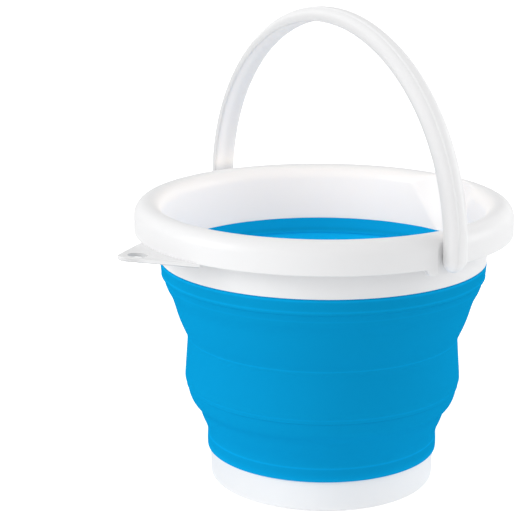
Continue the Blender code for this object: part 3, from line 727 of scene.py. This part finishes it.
def bail_place(station):
    """A place on the arch's inner face, its outward direction, and how far along the arch it is from a leg.

    The place and the direction are in the YZ plane, from the pivot.
    """
    height = BAIL_INNER + BAIL_STRETCH - BAIL_LEG
    angle = math.pi * station / BAIL_STATIONS
    outwards = Vector((-math.cos(angle) * height, math.sin(angle) * BAIL_INNER)).normalized()
    place = (-BAIL_INNER * math.cos(angle), BAIL_LEG + height * math.sin(angle))
    return place, outwards, BAIL_INNER * min(angle, math.pi - angle)


def bail_painted_shade(vertex):
    """Painted light and shade: darker at the edge towards the tab, which faces the left light, and on the
    rib's slopes, and a little lighter between.

    Of the inner face, only that edge has a tone.
    """
    x, y, z = vertex.co
    across = x - PIVOT_OFFSET
    share = across / BAIL_HALF
    outside = vertex.normal.y * y + vertex.normal.z * (z - PIVOT_HEIGHT) > 0
    if not outside and share > BAIL_EDGE_SHARE:
        return 0
    tone = 0
    for (low, first), (high, second) in zip(BAIL_PAINTED_SHADE, BAIL_PAINTED_SHADE[1:]):
        if low <= share <= high:
            tone = first + (second - first) * (share - low) / (high - low)
    # painted shade lines on the rib's slopes
    if 0 < abs(across) - RIB_HALF < RIB_SLOPE:
        tone += RIB_PAINTED_SHADE
    return tone


def add_bail_feet(bm):
    """The round ends of both legs: half of the section, turned half round the pivot."""
    offsets = bail_offsets()
    half = [(offset, bail_face(offset, True, 0)) for offset in offsets]
    half += [(offset, bail_face(offset, False, 0)) for offset in offsets[-2::-1]]
    turns = [math.pi * i / BAIL_FOOT_STEPS for i in range(BAIL_FOOT_STEPS + 1)]
    for side in (-1, 1):
        fan = [[(o * math.cos(a), side * (BAIL_INNER + d), -o * math.sin(a)) for o, d in half] for a in turns]
        skin(bm, fan, closed=False, closed_profile=False)


def make_bail(material):
    bm = bmesh.new()
    legs = []
    for i in range(BAIL_LEG_STATIONS):
        height = BAIL_LEG * i / BAIL_LEG_STATIONS
        loop = bail_loop(smoothstep(0, BAIL_FADE, height))
        legs.append([(x, -(BAIL_INNER + depth), height) for x, depth in loop])
    arch = []
    for station in range(BAIL_STATIONS + 1):
        place, outwards, run = bail_place(station)
        loop = bail_loop(smoothstep(0, BAIL_FADE, BAIL_LEG + run))
        arch.append([(x, place[0] + outwards[0] * d, place[1] + outwards[1] * d) for x, d in loop])
    far_leg = [[(x, -y, z) for x, y, z in column] for column in reversed(legs)]
    skin(bm, legs + arch + far_leg, closed=False)
    add_bail_feet(bm)
    bmesh.ops.remove_doubles(bm, verts=bm.verts, dist=MERGE_DISTANCE)
    degenerate = [face for face in bm.faces if face.calc_area() < NO_AREA]
    bmesh.ops.delete(bm, geom=degenerate, context="FACES_ONLY")
    bmesh.ops.translate(bm, verts=bm.verts, vec=(PIVOT_OFFSET, 0, PIVOT_HEIGHT))
    mesh = finish_mesh(bm, "bail_strap")
    write_painted_light(mesh, bail_painted_shade)
    bail = add_piece("bail_strap", mesh, material, "bail")
    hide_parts("bail_handle")


def make_pegs(material):
    """Each foot's boss, peg and snap head, turned from one outline that points inwards from the bail."""
    tip = PEG_SEAT + PEG_HEAD_LENGTH
    outline = [
        (PEG_CORE, BOSS_ROOT), (BOSS_RADIUS, BOSS_ROOT),
        (BOSS_RADIUS, BOSS_HEIGHT - PEG_ROUND), (BOSS_RADIUS - PEG_ROUND, BOSS_HEIGHT),
        (PEG_SHANK + PEG_ROUND, BOSS_HEIGHT), (PEG_SHANK, BOSS_HEIGHT + PEG_ROUND),
        (PEG_SHANK, PEG_SEAT - PEG_ROUND), (PEG_SHANK + PEG_ROUND, PEG_SEAT),
        (PEG_HEAD_RADIUS - PEG_ROUND, PEG_SEAT), (PEG_HEAD_RADIUS, PEG_SEAT + PEG_ROUND),
        (PEG_HEAD_RADIUS, PEG_SEAT + PEG_HEAD_RIM), (PEG_TIP_RADIUS + PEG_ROUND, tip - PEG_ROUND),
        (PEG_TIP_RADIUS - PEG_ROUND, tip), (PEG_CORE, tip),
    ]
    for side, end in ((-1, "near"), (1, "far")):
        mesh = turned("bail_peg_" + end, outline, PEG_COLUMNS)
        turn = Matrix.Rotation(side * math.pi / 2, 4, "X")
        mesh.transform(Matrix.Translation((PIVOT_OFFSET, side * BAIL_INNER, PIVOT_HEIGHT)) @ turn)
        peg = add_piece("bail_peg_" + end, mesh, material, "bail")


# Materials

def node_group(name, inputs, outputs):
    """An empty shader group with the given sockets, and its input and output nodes."""
    group = bpy.data.node_groups.new(name, "ShaderNodeTree")
    for label, kind, value in inputs:
        socket = group.interface.new_socket(label, in_out="INPUT", socket_type=kind)
        socket.default_value = value
    for label, kind in outputs:
        group.interface.new_socket(label, in_out="OUTPUT", socket_type=kind)
    return group, group.nodes.new("NodeGroupInput"), group.nodes.new("NodeGroupOutput")


def feed(tree, socket, value):
    """Gives a socket a number, or what another node puts out."""
    if isinstance(value, (int, float)):
        socket.default_value = value
    else:
        tree.links.new(value, socket)


def math_node(tree, operation, first, second, clamp=False):
    node = tree.nodes.new("ShaderNodeMath")
    node.operation = operation
    node.use_clamp = clamp
    feed(tree, node.inputs[0], first)
    feed(tree, node.inputs[1], second)
    return node.outputs["Value"]


def noise(tree, vector, scale, detail, roughness):
    node = tree.nodes.new("ShaderNodeTexNoise")
    tree.links.new(vector, node.inputs["Vector"])
    for label, value in (("Scale", scale), ("Detail", detail), ("Roughness", roughness)):
        feed(tree, node.inputs[label], value)
    return node.outputs["Fac"]


def moulded_grain_group():
    """Fine spark-eroded grain of a mould, and the slow unevenness of a moulded wall."""
    group, given, out = node_group(
        "moulded_grain",
        [
            ("Grain Scale", "NodeSocketFloat", 1500.0),
            ("Grain Depth", "NodeSocketFloat", 0.5),
            ("Wall Waves", "NodeSocketFloat", 0.5),
            ("Roughness", "NodeSocketFloat", 0.35),
            ("Roughness Spread", "NodeSocketFloat", 0.1),
        ],
        [("Height", "NodeSocketFloat"), ("Roughness", "NodeSocketFloat")],
    )
    place = group.nodes.new("ShaderNodeTexCoord").outputs["Object"]
    fine = noise(group, place, given.outputs["Grain Scale"], detail=3.0, roughness=0.6)
    waves = noise(group, place, scale=38.0, detail=1.0, roughness=0.4)
    patches = noise(group, place, scale=22.0, detail=4.0, roughness=0.6)
    grain = math_node(group, "MULTIPLY", fine, given.outputs["Grain Depth"])
    swell = math_node(group, "MULTIPLY", waves, given.outputs["Wall Waves"])
    group.links.new(math_node(group, "ADD", grain, swell), out.inputs["Height"])
    centred = math_node(group, "SUBTRACT", patches, 0.5)
    spread = math_node(group, "MULTIPLY", centred, given.outputs["Roughness Spread"])
    total = math_node(group, "ADD", given.outputs["Roughness"], spread, clamp=True)
    group.links.new(total, out.inputs["Roughness"])
    return group


def resin_cloud_and_painted_light_group():
    """Slight clouding of the colour in a moulded wall, and the painted light and shade that its mesh carries
    as tones.
    """
    group, given, out = node_group(
        "resin_cloud_and_painted_light",
        [
            ("Color", "NodeSocketColor", (0.8, 0.8, 0.8, 1)),
            ("Cloud Color", "NodeSocketColor", (0.7, 0.7, 0.7, 1)),
            ("Cloud Scale", "NodeSocketFloat", 14.0),
            ("Cloud Strength", "NodeSocketFloat", 0.3),
        ],
        [("Color", "NodeSocketColor")],
    )
    place = group.nodes.new("ShaderNodeTexCoord").outputs["Object"]
    clouds = noise(group, place, given.outputs["Cloud Scale"], detail=5.0, roughness=0.55)
    share = math_node(group, "MULTIPLY", clouds, given.outputs["Cloud Strength"], clamp=True)
    mix = group.nodes.new("ShaderNodeMix")
    mix.data_type = "RGBA"
    group.links.new(share, mix.inputs["Factor"])
    group.links.new(given.outputs["Color"], mix.inputs["A"])
    group.links.new(given.outputs["Cloud Color"], mix.inputs["B"])
    tone = group.nodes.new("ShaderNodeAttribute")
    tone.attribute_name = "tone"
    toned = group.nodes.new("ShaderNodeVectorMath")
    toned.operation = "SCALE"
    group.links.new(mix.outputs["Result"], toned.inputs[0])
    group.links.new(math_node(group, "ADD", tone.outputs["Fac"], 1.0), toned.inputs["Scale"])
    group.links.new(toned.outputs["Vector"], out.inputs["Color"])
    return group


def plastic(name, color, cloud, grain, shader_values):
    """A moulded plastic: its own shader, with tone and grain from the shared groups."""
    material = bpy.data.materials.new(name)
    material.use_nodes = True
    tree = material.node_tree
    shader = tree.nodes["Principled BSDF"]
    for label, value in shader_values.items():
        shader.inputs[label].default_value = value
    tone = tree.nodes.new("ShaderNodeGroup")
    tone.node_tree = RESIN_CLOUD_AND_PAINTED_LIGHT
    tone.inputs["Color"].default_value = (*color, 1)
    for label, value in cloud.items():
        tone.inputs[label].default_value = value
    tree.links.new(tone.outputs["Color"], shader.inputs["Base Color"])
    surface = tree.nodes.new("ShaderNodeGroup")
    surface.node_tree = MOULDED_GRAIN
    for label, value in grain.items():
        surface.inputs[label].default_value = value
    tree.links.new(surface.outputs["Roughness"], shader.inputs["Roughness"])
    bump = tree.nodes.new("ShaderNodeBump")
    bump.inputs["Strength"].default_value = GRAIN_STRENGTH
    bump.inputs["Distance"].default_value = GRAIN_RELIEF
    tree.links.new(surface.outputs["Height"], bump.inputs["Height"])
    tree.links.new(bump.outputs["Normal"], shader.inputs["Normal"])
    return material


# Stage

def add_light(name, place, size, power):
    """A round area light that faces the object."""
    data = bpy.data.lights.new(name, "AREA")
    data.shape = "DISK"
    data.size = size
    data.energy = power
    lamp = bpy.data.objects.new(name, data)
    lamp.location = place
    lamp.rotation_euler = (Vector(LIGHT_TARGET) - Vector(place)).to_track_quat("-Z", "Y").to_euler()
    bpy.context.scene.collection.objects.link(lamp)


def add_bulb():
    """A small lamp in the open bucket, which fills its inside and is itself unseen."""
    data = bpy.data.lights.new("inside", "POINT")
    data.shadow_soft_size = BULB_RADIUS
    data.energy = BULB_POWER
    data.color = BULB_COLOR
    lamp = bpy.data.objects.new("inside", data)
    lamp.location = BULB_PLACE
    lamp.visible_camera = False
    lamp.visible_glossy = False
    bpy.context.scene.collection.objects.link(lamp)


def faded(tree, value, reach, strength):
    """A value that runs smoothly from one strength to the other over the reach."""
    level = tree.nodes.new("ShaderNodeMapRange")
    level.interpolation_type = "SMOOTHSTEP"
    for label, number in zip(("From Min", "From Max", "To Min", "To Max"), (*reach, *strength)):
        level.inputs[label].default_value = number
    tree.links.new(value, level.inputs["Value"])
    return level.outputs["Result"]


def pale_floor_material():
    """White to the camera, with the object's shadow kept on it.

    To the camera it glows more further out, where it gets less light. Near the object it also gives a little
    light of its own, which fills the shade low on the wall.
    """
    material = bpy.data.materials.new("pale_floor")
    material.use_nodes = True
    tree = material.node_tree
    tree.nodes.clear()
    diffuse = tree.nodes.new("ShaderNodeBsdfDiffuse")
    diffuse.inputs["Color"].default_value = (*FLOOR_COLOR, 1)
    glow = tree.nodes.new("ShaderNodeEmission")
    glow.inputs["Color"].default_value = (1, 1, 1, 1)
    seen = tree.nodes.new("ShaderNodeLightPath").outputs["Is Camera Ray"]
    away = tree.nodes.new("ShaderNodeVectorMath")
    away.operation = "LENGTH"
    tree.links.new(tree.nodes.new("ShaderNodeTexCoord").outputs["Object"], away.inputs[0])
    level = faded(tree, away.outputs["Value"], GLOW_REACH, GLOW_STRENGTH)
    fill = faded(tree, away.outputs["Value"], FILL_REACH, FILL_STRENGTH)
    seen_glow = math_node(tree, "MULTIPLY", seen, level)
    tree.links.new(math_node(tree, "ADD", seen_glow, fill), glow.inputs["Strength"])
    both = tree.nodes.new("ShaderNodeAddShader")
    tree.links.new(diffuse.outputs["BSDF"], both.inputs[0])
    tree.links.new(glow.outputs["Emission"], both.inputs[1])
    out = tree.nodes.new("ShaderNodeOutputMaterial")
    tree.links.new(both.outputs["Shader"], out.inputs["Surface"])
    return material


def make_floor():
    mesh = bpy.data.meshes.new("studio_floor")
    corners = [(x * FLOOR_HALF, y * FLOOR_HALF, 0) for x, y in ((-1, -1), (1, -1), (1, 1), (-1, 1))]
    mesh.from_pydata(corners, [], [(0, 1, 2, 3)])
    floor = bpy.data.objects.new("studio_floor", mesh)
    bpy.context.scene.collection.objects.link(floor)
    mesh.materials.append(pale_floor_material())


def make_world():
    """A soft even sky, which is white to the camera."""
    world = bpy.data.worlds.new("studio")
    world.use_nodes = True
    tree = world.node_tree
    sky = tree.nodes["Background"]
    sky.inputs["Color"].default_value = (1, 1, 1, 1)
    path = tree.nodes.new("ShaderNodeLightPath")
    seen = math_node(tree, "MULTIPLY", path.outputs["Is Camera Ray"], 1 - WORLD_LIGHT)
    tree.links.new(math_node(tree, "ADD", seen, WORLD_LIGHT), sky.inputs["Strength"])
    bpy.context.scene.world = world


def make_camera():
    data = bpy.data.cameras.new("camera")
    data.lens = CAMERA_LENS
    data.sensor_width = CAMERA_SENSOR
    data.clip_start, data.clip_end = CAMERA_CLIP
    camera = bpy.data.objects.new("camera", data)
    camera.location = CAMERA_PLACE
    camera.rotation_euler = CAMERA_TURN
    bpy.context.scene.collection.objects.link(camera)
    bpy.context.scene.camera = camera


bpy.context.scene.view_settings.view_transform = "Standard"
make_camera()
make_floor()
make_world()
for light in LIGHTS:
    add_light(*light)
add_bulb()

MOULDED_GRAIN = moulded_grain_group()
RESIN_CLOUD_AND_PAINTED_LIGHT = resin_cloud_and_painted_light_group()
white_stiff = plastic(
    "white_stiff_plastic",
    (0.94, 0.94, 0.945),
    {"Cloud Color": (0.91, 0.91, 0.92, 1), "Cloud Scale": 9.0, "Cloud Strength": 0.35},
    {
        "Grain Scale": 2600.0, "Grain Depth": 0.35, "Wall Waves": 0.25,
        "Roughness": 0.36, "Roughness Spread": 0.10,
    },
    {"Specular IOR Level": 0.45, "IOR": 1.49},
)
blue_soft = plastic(
    "blue_soft_plastic",
    (0.0028, 0.318, 0.640),
    {"Cloud Color": (0.0028, 0.295, 0.600, 1), "Cloud Scale": 11.0, "Cloud Strength": 0.35},
    {
        "Grain Scale": 3400.0, "Grain Depth": 0.55, "Wall Waves": 0.35,
        "Roughness": 0.52, "Roughness Spread": 0.12,
    },
    {"Specular IOR Level": 0.0, "IOR": 1.48},
)

make_rim(white_stiff)
make_tab(white_stiff)
make_upper_bellows(blue_soft)
make_lower_bellows(blue_soft)
make_base_cup(white_stiff)
make_bail(white_stiff)
make_pegs(white_stiff)

bpy.context.view_layer.update()
